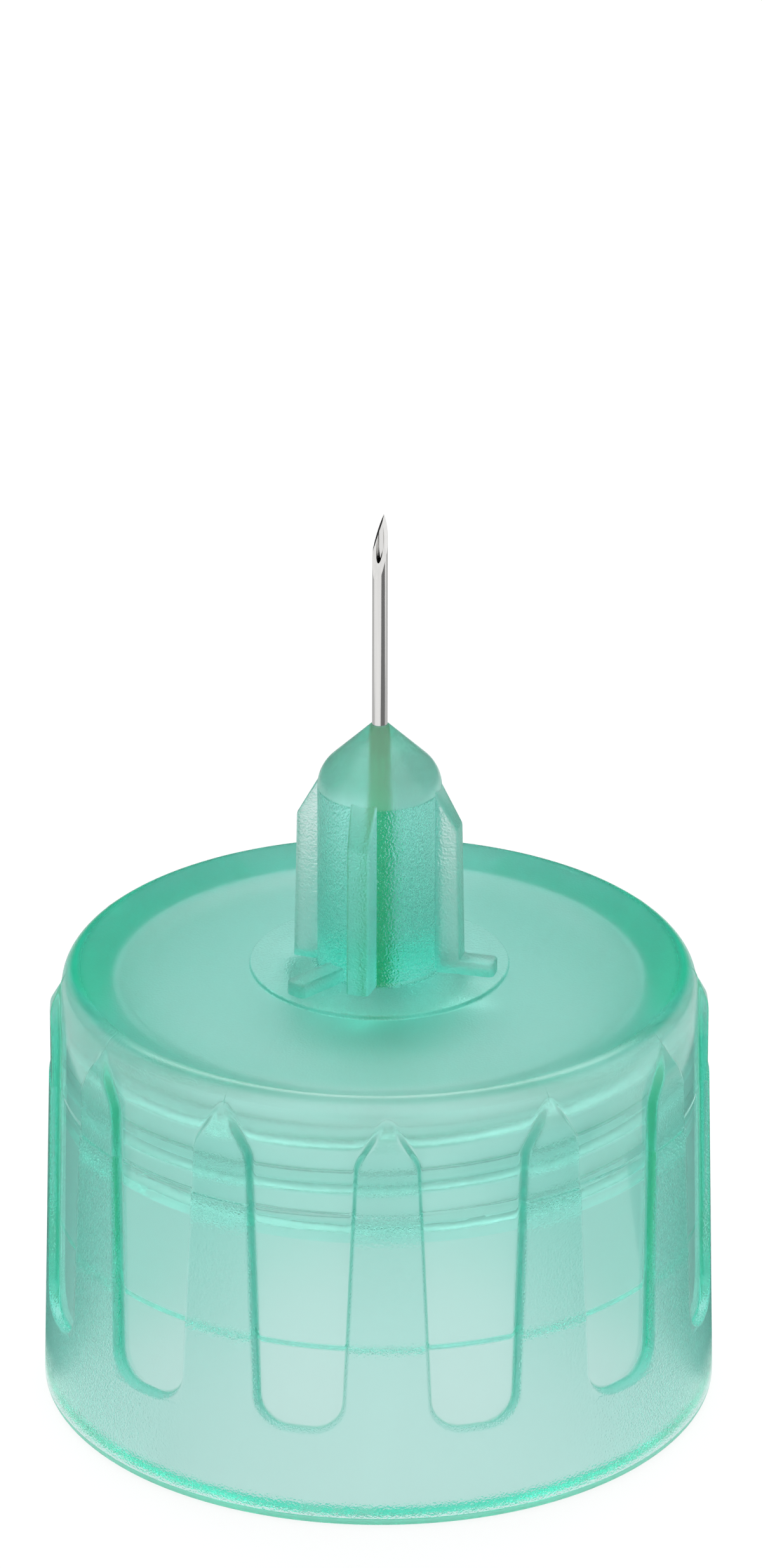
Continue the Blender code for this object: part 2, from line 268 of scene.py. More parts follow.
def rounded(corners, arc_step=ARC_STEP, closed=True):
    """Points of an outline whose corners, given as (x, y, radius), are replaced by arcs."""
    points = []
    count = len(corners)
    for index, (x, y, radius) in enumerate(corners):
        corner = Vector((x, y))
        if radius == 0 or (not closed and index in (0, count - 1)):
            points.append(corner)
            continue
        before = (Vector(corners[index - 1][:2]) - corner).normalized()
        after = (Vector(corners[(index + 1) % count][:2]) - corner).normalized()
        opening = before.angle(after)
        middle = corner + (before + after).normalized() * radius / math.sin(opening / 2)
        first = corner + before * radius / math.tan(opening / 2) - middle
        turn = math.pi - opening
        if before.x * after.y - before.y * after.x > 0:
            turn = -turn
        steps = max(1, math.ceil(abs(turn) / arc_step - STEP_SLACK))
        for step in range(steps + 1):
            points.append(middle + Matrix.Rotation(turn * step / steps, 2) @ first)
    return points


def spread(*stops):
    """Values from stop to stop; each stop after the first is (value, number of steps to it)."""
    values = [stops[0]]
    for end, steps in stops[1:]:
        start = values[-1]
        values += [start + (end - start) * step / steps for step in range(1, steps + 1)]
    return values


def smooth_step(value):
    """Ease from 0 to 1 as the value goes from 0 to 1, and stay at either end past it."""
    value = min(1.0, max(0.0, value))
    return value * value * (3 - 2 * value)


def blend(first, second, share):
    """Values that lie a share of the way from the first ones to the second."""
    return tuple(one + (other - one) * share for one, other in zip(first, second))


def distance_to_line(point, line):
    """Shortest distance from a point to an open line of points."""
    best = math.inf
    for start, end in zip(line, line[1:]):
        along = end - start
        share = max(0.0, min(1.0, (point - start).dot(along) / along.length_squared))
        best = min(best, (start + along * share - point).length)
    return best


def height_lookup(line, height):
    """x of an outline whose points fall in height, at the given height."""
    for start, end in zip(line, line[1:]):
        if start.y >= height >= end.y and start.y > end.y:
            return start.x + (end.x - start.x) * (start.y - height) / (start.y - end.y)
    return line[0].x if height > line[0].y else line[-1].x


# Hub wall with its ribs and windows


def rib_edge():
    """Edge of one rib laid flat, from its tip down one side and along the window's foot."""
    shoulder = HUB_HEIGHT - RIB_SHOULDER_DROP
    foot = RIB_HALF_WIDTH + (shoulder - BAND_HEIGHT) * RIB_TAPER
    full = rounded([
        (-RIB_HALF_WIDTH, shoulder, 0),
        (0, HUB_HEIGHT - RIB_TIP_DROP, RIB_TIP_ROUND),
        (RIB_HALF_WIDTH, shoulder, RIB_SHOULDER_ROUND),
        (foot, BAND_HEIGHT, WINDOW_CORNER),
        (WINDOW_FOOT_REACH, BAND_HEIGHT, 0),
    ], closed=False)
    return [point for point in full if point.x >= -MERGE]


def outer_radius(height):
    """Radius of the drafted skirt and of the ribs below the parting line."""
    return RIB_RADIUS + PARTING_STEP + (PARTING - height) * math.tan(OUTER_DRAFT)


def wall_radius(height):
    """Radius of the wall between the ribs, with the faint step of the parting line."""
    step = WINDOW_PARTING_STEP * smooth_step((PARTING - height) / PARTING_STEP_SLOPE)
    return WALL_RADIUS + (HUB_HEIGHT - height) * math.tan(WALL_DRAFT) + step


def wall_rows():
    """Outline of the skirt, a rib and the top fillet as (radius, height), with a point for each row."""
    slope_foot = HUB_HEIGHT - RIB_SLOPE_DROP
    slope_top = RIB_RADIUS - RIB_SLOPE_DROP * math.tan(RIB_SLOPE)
    outline = rounded([
        (RIM_FACE_RADIUS, 0, 0),
        (outer_radius(0), 0, RIM_ROUND),
        (outer_radius(PARTING), PARTING, 0),
        (RIB_RADIUS, PARTING + PARTING_STEP_SLOPE, 0),
        (RIB_RADIUS, slope_foot, RIB_SLOPE_ROUND),
        (slope_top, HUB_HEIGHT, TOP_ROUND),
        (THREAD_RADIUS, HUB_HEIGHT, 0),
        (TOP_FACE_RADIUS, HUB_HEIGHT, 0),
    ], closed=False)
    heights = spread(ROWS_FOOT, *ROW_STOPS)
    rows = [outline[0]]
    for start, end in zip(outline, outline[1:]):
        for height in heights:
            if start.y + ROW_CLEARANCE < height < end.y - ROW_CLEARANCE:
                rows.append(start.lerp(end, (height - start.y) / (end.y - start.y)))
        rows.append(end)
    return rows


def wall_columns(edge, height):
    """Distances from a rib's middle to the window's middle at a height, close together at the rib's edge."""
    middle = min(max(height_lookup(edge, height), FLANK_MIDDLE_LOW), FLANK_MIDDLE_HIGH)
    flank = [middle + share * FLANK_HALF_WIDTH for share in FLANK_SHARES]
    columns = spread(0.0, (flank[0], RIB_COLUMNS))[:-1] + flank
    return columns + spread(flank[-1], (HALF_PITCH, WINDOW_COLUMNS))[1:]


def wall_point(edge, across, row):
    """Place of a point of the wall: the rib's outline, let down to the window's wall past the rib's edge."""
    rib, height = row
    point = Vector((across, height))
    distance = distance_to_line(point, edge)
    in_window = height > BAND_HEIGHT and across > height_lookup(edge, height)
    share = smooth_step(0.5 + (distance if in_window else -distance) / FLANK_HALF_WIDTH / 2)
    rise = rib - wall_radius(height)
    fall = (rise + math.hypot(rise, SHOULDER_BLEND)) / 2
    radius = rib - share * fall
    angle = across / WALL_RADIUS
    return Vector((radius * math.sin(angle), -radius * math.cos(angle), height))


def make_wall():
    """Skirt, ribs and windows: half a sector is shaped from a grid, mirrored, and turned round the axis."""
    bm = bmesh.new()
    edge = rib_edge()
    rows = wall_rows()
    columns = [wall_columns(edge, row.y) for row in rows]
    across_count = len(columns[0]) - 1
    grid = bmesh.ops.create_grid(bm, x_segments=across_count, y_segments=len(rows) - 1, size=1)
    for vert in grid["verts"]:
        column = round((vert.co.x + 1) / 2 * across_count)
        row = round((vert.co.y + 1) / 2 * (len(rows) - 1))
        vert.co = wall_point(edge, columns[row][column], rows[row])
    half = bm.verts[:] + bm.edges[:] + bm.faces[:]
    bmesh.ops.mirror(bm, geom=half, axis="X", merge_dist=MERGE)
    sector = bm.verts[:] + bm.edges[:] + bm.faces[:]
    bmesh.ops.rotate(bm, verts=bm.verts, cent=(0, 0, 0), matrix=Matrix.Rotation(RIB_TURN, 3, "Z"))
    bmesh.ops.spin(bm, geom=sector, cent=(0, 0, 0), axis=(0, 0, 1), angle=2 * math.pi - SECTOR,
                   steps=RIB_COUNT - 1, use_duplicate=True)
    return bm


# Socket, thread, tower and bars


def spin_line(bm, line, steps, turn=0.0):
    """Surface swept by a line of (radius, height) points about the Z axis."""
    verts = [bm.verts.new((x * math.sin(turn), -x * math.cos(turn), z)) for x, z in line]
    edges = [bm.edges.new(pair) for pair in zip(verts, verts[1:])]
    bmesh.ops.spin(bm, geom=verts + edges, cent=(0, 0, 0), axis=(0, 0, 1), angle=2 * math.pi,
                   steps=steps, use_merge=True)


def mouth_line():
    """Socket from the rim's inner edge up to the foot of the thread's bore."""
    return rounded([
        (MOUTH_RADIUS + MOUTH_CHAMFER, 0, 0),
        (MOUTH_RADIUS, MOUTH_CHAMFER, EDGE_ROUND),
        (MOUTH_TOP_RADIUS, MOUTH_DEPTH - MOUTH_STEP_SLOPE, EDGE_ROUND),
        (PLAIN_RADIUS, MOUTH_DEPTH, EDGE_ROUND),
        (PLAIN_RADIUS, THREAD_END - THREAD_LEAD_IN, EDGE_ROUND),
        (THREAD_RADIUS, THREAD_END, 0),
    ], closed=False)


def dome_line():
    """Dome from its foot to the tube: an arc that leaves the shaft upright, then a cone."""
    fall = 1 / math.tan(DOME_SLOPE)
    spare_height = DOME_HEIGHT - (TOWER_RADIUS - BORE_RADIUS) * fall
    arc_radius = spare_height / (math.sin(DOME_SLOPE) - (1 - math.cos(DOME_SLOPE)) * fall)
    points = []
    for step in range(DOME_ARC_STEPS + 1):
        angle = DOME_SLOPE * step / DOME_ARC_STEPS
        points.append((TOWER_RADIUS - arc_radius * (1 - math.cos(angle)),
                       DOME_FOOT + arc_radius * math.sin(angle), 0))
    points.append((BORE_RADIUS, TOWER_TOP, 0))
    return points


def ceiling_line():
    """From the top of the thread's bore over the ceiling, boss and well, and up the tube's bore."""
    well_throat = WELL_MOUTH_RADIUS - WELL_DEPTH * math.tan(WELL_WALL_SLOPE)
    return rounded([
        (THREAD_RADIUS, CEILING - CEILING_ROUND, 0),
        (THREAD_RADIUS, CEILING, CEILING_ARC),
        (BOSS_RADIUS, CEILING, BOSS_FOOT_ROUND),
        (BOSS_RADIUS, BOSS_FACE, BOSS_ROUND),
        (WELL_MOUTH_RADIUS, BOSS_FACE, EDGE_ROUND),
        (well_throat, WELL_TOP, EDGE_ROUND),
        (BORE_RADIUS, WELL_TOP, 0),
        (BORE_RADIUS, HUB_HEIGHT, 0),
    ], closed=False)


def tower_line():
    """From the bore at the top face's height up over the dome, and down the tower and the disc."""
    return rounded([
        (BORE_RADIUS, HUB_HEIGHT, 0),
        *reversed(dome_line()),
        (TOWER_RADIUS, DISC_TOP, TOWER_FOOT_ROUND),
        (DISC_RADIUS, DISC_TOP, DISC_ROUND),
        (DISC_RADIUS, HUB_HEIGHT, DISC_ROUND),
        (DISC_RADIUS + 2 * DISC_ROUND, HUB_HEIGHT, 0),
        (BORE_RADIUS, HUB_HEIGHT, 0),
    ], closed=False)


def thread_rise(climb, height):
    """How far the thread stands in from its bore, at a climb above its first winding and a height."""
    middle = round(climb / THREAD_PITCH) * THREAD_PITCH
    flank = (THREAD_ROOT - THREAD_CREST) / 2
    share = smooth_step((THREAD_ROOT / 2 - abs(climb - middle)) / flank)
    run_in = smooth_step((height - THREAD_END) / THREAD_RUN_OUT)
    run_out = smooth_step((CEILING - CEILING_ROUND - height) / THREAD_RUN_OUT)
    return THREAD_RISE * share * run_in * run_out


def make_thread():
    """Threaded bore: a grid rolled into a tube on a slant, so that its rows climb with the ridge."""
    bm = bmesh.new()
    top = CEILING - CEILING_ROUND
    windings = (top - THREAD_END) / THREAD_PITCH + THREAD_SPARE_WINDINGS
    row_count = math.ceil(windings * THREAD_ROWS)
    grid = bmesh.ops.create_grid(bm, x_segments=SOCKET_STEPS, y_segments=row_count, size=1)
    for vert in grid["verts"]:
        share = (vert.co.x + 1) / 2
        row = round((vert.co.y + 1) / 2 * row_count)
        climb = THREAD_PITCH * (row / THREAD_ROWS - THREAD_SPARE_WINDINGS)
        height = THREAD_END + THREAD_START + climb + THREAD_PITCH * share
        height = min(max(height, THREAD_END), top)
        radius = THREAD_RADIUS - thread_rise(climb, height)
        turn = THREAD_TURN + 2 * math.pi * share
        vert.co = (radius * math.sin(turn), -radius * math.cos(turn), height)
    bmesh.ops.remove_doubles(bm, verts=bm.verts, dist=WELD)
    return bm


def fill_level(bm, height):
    """Close the flat ring between the open loops at a height."""
    edges = [edge for edge in bm.edges
             if edge.is_boundary and all(abs(vert.co.z - height) < MERGE for vert in edge.verts)]
    bmesh.ops.triangle_fill(bm, use_beauty=True, edges=edges, normal=(0, 0, 1))


def extrude_outline(outline, depth):
    """Prism from an outline in the XY plane, extruded by depth along +Z."""
    bm = bmesh.new()
    face = bm.faces.new([bm.verts.new((x, y, 0)) for x, y in outline])
    grown = bmesh.ops.extrude_face_region(bm, geom=[face], use_keep_orig=True)
    new_verts = [item for item in grown["geom"] if isinstance(item, bmesh.types.BMVert)]
    bmesh.ops.translate(bm, verts=new_verts, vec=(0, 0, depth))
    bmesh.ops.recalc_face_normals(bm, faces=bm.faces)
    return bm


def pattern(bm, count, turn):
    """Copies of everything in bm round the Z axis; the first is turned by turn from -Y towards +X."""
    bmesh.ops.rotate(bm, verts=bm.verts, cent=(0, 0, 0), matrix=Matrix.Rotation(turn, 3, "Z"))
    bmesh.ops.spin(bm, geom=bm.verts[:] + bm.edges[:] + bm.faces[:], cent=(0, 0, 0), axis=(0, 0, 1),
                   angle=2 * math.pi * (count - 1) / count, steps=count - 1, use_duplicate=True)


def tower_ribs():
    """Cross ribs of the tower: a side profile given its width, spread by draft, with rounded outer edges."""
    foot_reach = TOWER_RADIUS + TOWER_RIB_REACH
    slope_top = DOME_FOOT + TOWER_RIB_RISE
    slope_foot = slope_top - TOWER_RIB_SLOPE_LENGTH
    top_reach = foot_reach - (slope_foot - DISC_TOP) * math.tan(TOWER_RIB_DRAFT)
    side = rounded([
        (UNION_CORE_RADIUS, SUNK_FOOT, 0),
        (foot_reach, SUNK_FOOT, 0),
        (top_reach, slope_foot, TOWER_RIB_CORNER),
        (TOWER_RADIUS - OVERLAP, slope_top, 0),
        (UNION_CORE_RADIUS, slope_top, 0),
    ])
    bm = extrude_outline(side, TOWER_RIB_WIDTH)
    for vert in bm.verts:
        radius, height, across = vert.co
        half = TOWER_RIB_WIDTH / 2 + (foot_reach - radius) * math.tan(TOWER_RIB_FLANK_DRAFT)
        vert.co = (math.copysign(half, across - TOWER_RIB_WIDTH / 2), -radius, height)
    bmesh.ops.recalc_face_normals(bm, faces=bm.faces)
    outer = [edge for edge in bm.edges
             if all(-vert.co.y > TOWER_RADIUS - 2 * OVERLAP for vert in edge.verts)
             and edge.verts[0].co.x * edge.verts[1].co.x > 0
             and not all(vert.co.z < DISC_TOP for vert in edge.verts)]
    bmesh.ops.bevel(bm, geom=outer, offset=TOWER_RIB_EDGE_ROUND, offset_type="OFFSET", affect="EDGES",
                    segments=EDGE_SEGMENTS, profile=0.5, material=-1, clamp_overlap=True)
    pattern(bm, TOWER_RIB_COUNT, TOWER_RIB_TURN)
    return bm


def locating_bars():
    """Low bars on the disc with rounded ends and rounded upper edges."""
    half = BAR_WIDTH / 2
    end = DISC_RADIUS - BAR_END_INSET
    plan = rounded([
        (-half, -UNION_CORE_RADIUS, 0),
        (-half, -end, BAR_CORNER),
        (half, -end, BAR_CORNER),
        (half, -UNION_CORE_RADIUS, 0),
    ], arc_step=BAR_ARC_STEP)
    top = DISC_TOP + BAR_HEIGHT
    bm = extrude_outline(plan, top - SUNK_FOOT)
    bmesh.ops.translate(bm, verts=bm.verts, vec=(0, 0, SUNK_FOOT))
    rim = [edge for edge in bm.edges if all(vert.co.z > top - MERGE for vert in edge.verts)]
    bmesh.ops.bevel(bm, geom=rim, offset=BAR_EDGE_ROUND, offset_type="OFFSET", affect="EDGES",
                    segments=EDGE_SEGMENTS, profile=0.5, material=-1, clamp_overlap=True)
    pattern(bm, BAR_COUNT, BAR_TURN)
    return bm


# Pieces and their finish


def make_piece(name, bm, sharp_angle):
    """Smooth-shaded object from a bmesh, with sharp edges above an angle."""
    mesh = bpy.data.meshes.new(name)
    bm.to_mesh(mesh)
    bm.free()
    mesh.shade_smooth()
    mesh.set_sharp_from_angle(angle=sharp_angle)
    piece = bpy.data.objects.new(name, mesh)
    bpy.context.scene.collection.objects.link(piece)
    return piece


def unite(piece, parts):
    """Fuse closed parts into a piece; the result is a bmesh, and the piece and parts go."""
    for part in parts:
        modifier = piece.modifiers.new(part.name, "BOOLEAN")
        modifier.operation = "UNION"
        modifier.solver = "EXACT"
        modifier.object = part
    evaluated = piece.evaluated_get(bpy.context.evaluated_depsgraph_get())
    bm = bmesh.new()
    bm.from_mesh(evaluated.to_mesh())
    for used in (piece, *parts):
        bpy.data.objects.remove(used)
    return bm


def make_tower():
    """Core, disc, cross ribs and bars as one surface, open at the top face's height."""
    bm = bmesh.new()
    spin_line(bm, tower_line(), SOCKET_STEPS)
    bmesh.ops.remove_doubles(bm, verts=bm.verts, dist=WELD)
    bmesh.ops.recalc_face_normals(bm, faces=bm.faces)
    solids = []
    for name, solid in (("tower_core", bm), ("tower_ribs", tower_ribs()), ("locating_bars", locating_bars())):
        bmesh.ops.triangulate(solid, faces=solid.faces)
        solids.append(make_piece(name, solid, sharp_angle=math.pi))
    bm = unite(solids[0], solids[1:])
    cap = [face for face in bm.faces if all(vert.co.z < HUB_HEIGHT + MERGE for vert in face.verts)]
    bmesh.ops.delete(bm, geom=cap, context="FACES")
    return bm


def absorb(bm, part):
    """Move everything of another bmesh into bm."""
    mesh = bpy.data.meshes.new("part")
    part.to_mesh(mesh)
    part.free()
    bm.from_mesh(mesh)
    bpy.data.meshes.remove(mesh)


def top_edge_finish(height):
    """Finish round the top fillet: the frosted ring, a clear glint and a smooth line, all a little deep green
    in painted shade, then the upper wall, pale in painted light.
    """
    angle = math.degrees(math.acos(max(0.0, 1 - (HUB_HEIGHT - height) / TOP_ROUND)))
    for (start, first), (end, second) in zip(TOP_EDGE_FINISHES, TOP_EDGE_FINISHES[1:]):
        if angle <= end:
            return blend(first, second, (angle - start) / (end - start))
    return FINISH_UPPER_WALL


def mould_finish(point):
    """Finish at a point of the hub: the mould's frost and grain, and painted light and painted shade for the
    light in the plastic.
    """
    radius = math.hypot(point.x, point.y)
    height = point.z
    mouth_edge = MOUTH_RADIUS + MOUTH_CHAMFER
    if height > DOME_FOOT and radius < TOWER_RADIUS + MERGE:
        return FINISH_DOME
    if height > HUB_HEIGHT - MERGE:
        if radius < DISC_RADIUS + DISC_ROUND:
            return FINISH_TOWER_RIB if radius > TOWER_RADIUS + TOWER_FOOT_ROUND + MERGE else FINISH_TOWER
        return FINISH_TOP_RING if radius > TOP_FACE_RADIUS + MERGE else FINISH_TOP
    if height < RIM_ROUND and radius > mouth_edge + MERGE:
        return FINISH_RIM
    if radius < mouth_edge + MERGE and height < CEILING + MERGE:
        if height < MOUTH_CHAMFER:
            return FINISH_MOUTH_EDGE
        if height > CEILING - CEILING_ROUND:
            return FINISH_CEILING
        ridge = (THREAD_RADIUS - radius) / THREAD_RISE if height > THREAD_END else 0.0
        return blend(FINISH_SOCKET, FINISH_THREAD, max(0.0, min(1.0, ridge)))
    if height > HUB_HEIGHT - TOP_ROUND:
        return top_edge_finish(height)
    return wall_finish(radius, height)


def wall_finish(radius, height):
    """Finish of the wall from its windows to its ribs; its painted shade, a deep green, is strongest half-way
    up the ribs' flanks, and painted light grows up the wall towards the top fillet.
    """
    wall = wall_radius(height)
    rib = 1.0
    if height > BAND_HEIGHT:
        rib = max(0.0, min(1.0, (radius - wall) / (RIB_RADIUS - wall)))
    flank = 4 * rib * (1 - rib)
    if height <= PARTING + PARTING_STEP_SLOPE:
        return blend(blend(FINISH_WINDOW, FINISH_SKIRT, rib), FINISH_FLANK, flank)
    # Painted light: the wall turns pale from UPPER_WALL_FOOT up to the top fillet
    painted_light_share = smooth_step((height - UPPER_WALL_FOOT) / (HUB_HEIGHT - TOP_ROUND - UPPER_WALL_FOOT))
    smooth = blend(FINISH_WINDOW, FINISH_UPPER_WALL, painted_light_share)
    return blend(blend(smooth, FINISH_UPPER_RIB, rib * (1 - painted_light_share)), FINISH_FLANK, flank * (1 - painted_light_share))


def mark_finish(bm):
    """Write the finish on the hub's points, for its material: the mould's frost and grain, and its painted
    light and shade.
    """
    layers = [bm.verts.layers.float.new(name) for name in FINISH_NAMES]
    for vert in bm.verts:
        for layer, value in zip(layers, mould_finish(vert.co)):
            vert[layer] = value


def make_hub():
    """The whole moulding as one closed surface: socket, wall, thread, and tower with its disc and bars."""
    bm = bmesh.new()
    spin_line(bm, mouth_line(), SOCKET_STEPS)
    spin_line(bm, ceiling_line(), SOCKET_STEPS)
    for part in (make_wall(), make_thread(), make_tower()):
        absorb(bm, part)
    bmesh.ops.remove_doubles(bm, verts=bm.verts, dist=WELD)
    fill_level(bm, 0.0)
    fill_level(bm, HUB_HEIGHT)
    bmesh.ops.recalc_face_normals(bm, faces=bm.faces)
    mark_finish(bm)
    return make_piece("hub_moulding", bm, sharp_angle=math.radians(60))


def facing(turn):
    """Level direction that is turned by turn from -Y towards +X."""
    return Vector((math.sin(turn), -math.cos(turn), 0))


def grind(bm, point, angle, turn, upwards):
    """Slanted grind through a point: the ground face looks towards turn and leans angle from upright."""
    normal = facing(turn) * math.cos(angle) + Vector((0, 0, upwards * math.sin(angle)))
    cut = bmesh.ops.bisect_plane(bm, geom=bm.verts[:] + bm.edges[:] + bm.faces[:], dist=MERGE,
                                 plane_co=point, plane_no=normal, clear_outer=True)
    rim = [item for item in cut["geom_cut"] if isinstance(item, bmesh.types.BMEdge)]
    bmesh.ops.triangle_fill(bm, use_beauty=True, edges=rim, normal=normal)


def make_tube():
    """Steel tube: its upper point is a long bevel with a lancet grind each side, its rear point a bevel."""
    bm = bmesh.new()
    turn = BEVEL_TURN + math.pi
    line = [(TUBE_RADIUS, TUBE_FOOT), (TUBE_RADIUS, TUBE_TIP), (LUMEN_RADIUS, TUBE_TIP),
            (LUMEN_RADIUS, TUBE_FOOT), (TUBE_RADIUS, TUBE_FOOT)]
    spin_line(bm, line, TUBE_STEPS, turn)
    bmesh.ops.remove_doubles(bm, verts=bm.verts, dist=MERGE)
    bmesh.ops.recalc_face_normals(bm, faces=bm.faces)
    side = facing(BEVEL_TURN) * TUBE_RADIUS
    heel = Vector((0, 0, TUBE_TIP - BEVEL_LENGTH)) + side
    grind(bm, heel, BEVEL_ANGLE, BEVEL_TURN, 1)
    tip = Vector((0, 0, TUBE_TIP)) - side
    for lancet_turn in (-LANCET_TURN, LANCET_TURN):
        grind(bm, tip, LANCET_ANGLE, BEVEL_TURN + lancet_turn, 1)
    rear_tip = Vector((0, 0, TUBE_FOOT)) - side
    grind(bm, rear_tip, REAR_BEVEL_ANGLE, BEVEL_TURN, -1)
    bmesh.ops.remove_doubles(bm, verts=bm.verts, dist=MERGE)
    return make_piece("cannula", bm, sharp_angle=math.radians(20))


def make_adhesive():
    """Cured bead in the boss's well, with a hollow meniscus towards the socket."""
    slope = math.tan(WELL_WALL_SLOPE)
    inner = TUBE_RADIUS + BOND
    foot = BOSS_FACE + MENISCUS_SETBACK
    foot_radius = WELL_MOUTH_RADIUS - MENISCUS_SETBACK * slope - BOND
    top_radius = WELL_MOUTH_RADIUS - WELL_DEPTH * slope - BOND
    line = [(inner, WELL_TOP - BOND), (top_radius, WELL_TOP - BOND)]
    for step in range(MENISCUS_STEPS + 1):
        share = step / MENISCUS_STEPS
        radius = foot_radius + (inner - foot_radius) * share
        line.append((radius, foot + MENISCUS_SAG * math.sin(math.pi * share)))
    line.append(line[0])
    bm = bmesh.new()
    spin_line(bm, line, TUBE_STEPS)
    bmesh.ops.remove_doubles(bm, verts=bm.verts, dist=MERGE)
    bmesh.ops.recalc_face_normals(bm, faces=bm.faces)
    return make_piece("adhesive_bead", bm, sharp_angle=math.radians(30))


# Materials

DYE_DENSITY = 1160.0
MOULD_GRAIN = 0.042 * MM
MOULD_GRAIN_DEPTH = 0.028 * MM
DRAW_LINE_WIDTH = 0.03 * MM
DRAW_LINE_LENGTH = 1.5 * MM
DRAW_LINE_DEPTH = 0.0006 * MM
BOND_END = 0.05 * MM
BONDED_ROUGHNESS = 0.2
RIPPLE_WIDTH = 0.2 * MM
RIPPLE_DEPTH = 0.01 * MM


def linear(hex_colour):
    """Linear RGBA of an sRGB colour written as six hex digits."""
    channels = []
    for start in (0, 2, 4):
        value = int(hex_colour[start:start + 2], 16) / 255
        channels.append(value / 12.92 if value <= 0.04045 else ((value + 0.055) / 1.055) ** 2.4)
    return (*channels, 1.0)


def set_node(tree, node, settings=None, links=None):
    """Give a node its settings, attributes or socket values by name or number, and link its sockets."""
    for name, value in (settings or {}).items():
        if isinstance(name, str) and hasattr(node, name) and name not in node.inputs:
            setattr(node, name, value)
        else:
            node.inputs[name].default_value = value
    for name, source in (links or {}).items():
        tree.links.new(source, node.inputs[name])
    return node


def add_node(tree, kind, settings=None, links=None):
    """New node of a kind, with its settings and links."""
    return set_node(tree, tree.nodes.new(kind), settings, links)


def new_material(name):
    """Material with its node tree and the Principled shader in it."""
    material = bpy.data.materials.new(name)
    material.use_nodes = True
    return material, material.node_tree, material.node_tree.nodes["Principled BSDF"]


def moulded_polypropylene():
    """Tinted polypropylene, injection moulded, whose colour deepens with the plastic that light goes through.

    Smooth steel leaves the windows clear. Spark-eroded steel leaves frost and fine grain, which soften what
    shows through the ribs, the skirt and the tower. Bloom is a milky veil, partly the plastic's own scatter
    and partly painted light, strongest on the upper wall. Depth is painted shade: the full deep green of
    edges that gather light.
    """
    material, tree, shader = new_material("moulded tinted polypropylene")
    finish = {name: add_node(tree, "ShaderNodeAttribute", {"attribute_name": name}).outputs["Fac"]
              for name in FINISH_NAMES}
    place = add_node(tree, "ShaderNodeTexCoord")
    # Painted shade: depth mixes the base colour from near white to deep green
    tint = add_node(tree, "ShaderNodeMix",
                    {"data_type": "RGBA", "A": linear("F3F9F7"), "B": linear("12CFA6")},
                    {"Factor": finish["depth"]})
    roughness = add_node(tree, "ShaderNodeMapRange", {"To Min": 0.05, "To Max": 0.60},
                         {"Value": finish["frost"]})
    # Painted light: the milky veil lowers transmission so the pale base colour shows, partly the plastic's
    # own milkiness
    clearness = add_node(tree, "ShaderNodeMapRange", {"To Min": 1.0, "To Max": 0.65},
                         {"Value": finish["milk_and_painted_light"]})
    pits = add_node(tree, "ShaderNodeTexNoise", {"Scale": 1 / MOULD_GRAIN, "Detail": 1.0},
                    {"Vector": place.outputs["Object"]})
    grained = add_node(tree, "ShaderNodeMath", {"operation": "MULTIPLY"},
                       {0: pits.outputs["Fac"], 1: finish["grain"]})
    relief = add_node(tree, "ShaderNodeBump", {"Strength": 1.0, "Distance": MOULD_GRAIN_DEPTH},
                      {"Height": grained.outputs[0]})
    set_node(tree, shader, {"IOR": 1.49}, {
        "Base Color": tint.outputs["Result"],
        "Roughness": roughness.outputs["Result"],
        "Transmission Weight": clearness.outputs["Result"],
        "Normal": relief.outputs["Normal"],
    })
    dye = add_node(tree, "ShaderNodeVolumeAbsorption", {"Density": DYE_DENSITY, "Color": linear("D3FDF9")})
    set_node(tree, tree.nodes["Material Output"], links={"Volume": dye.outputs["Volume"]})
    return material


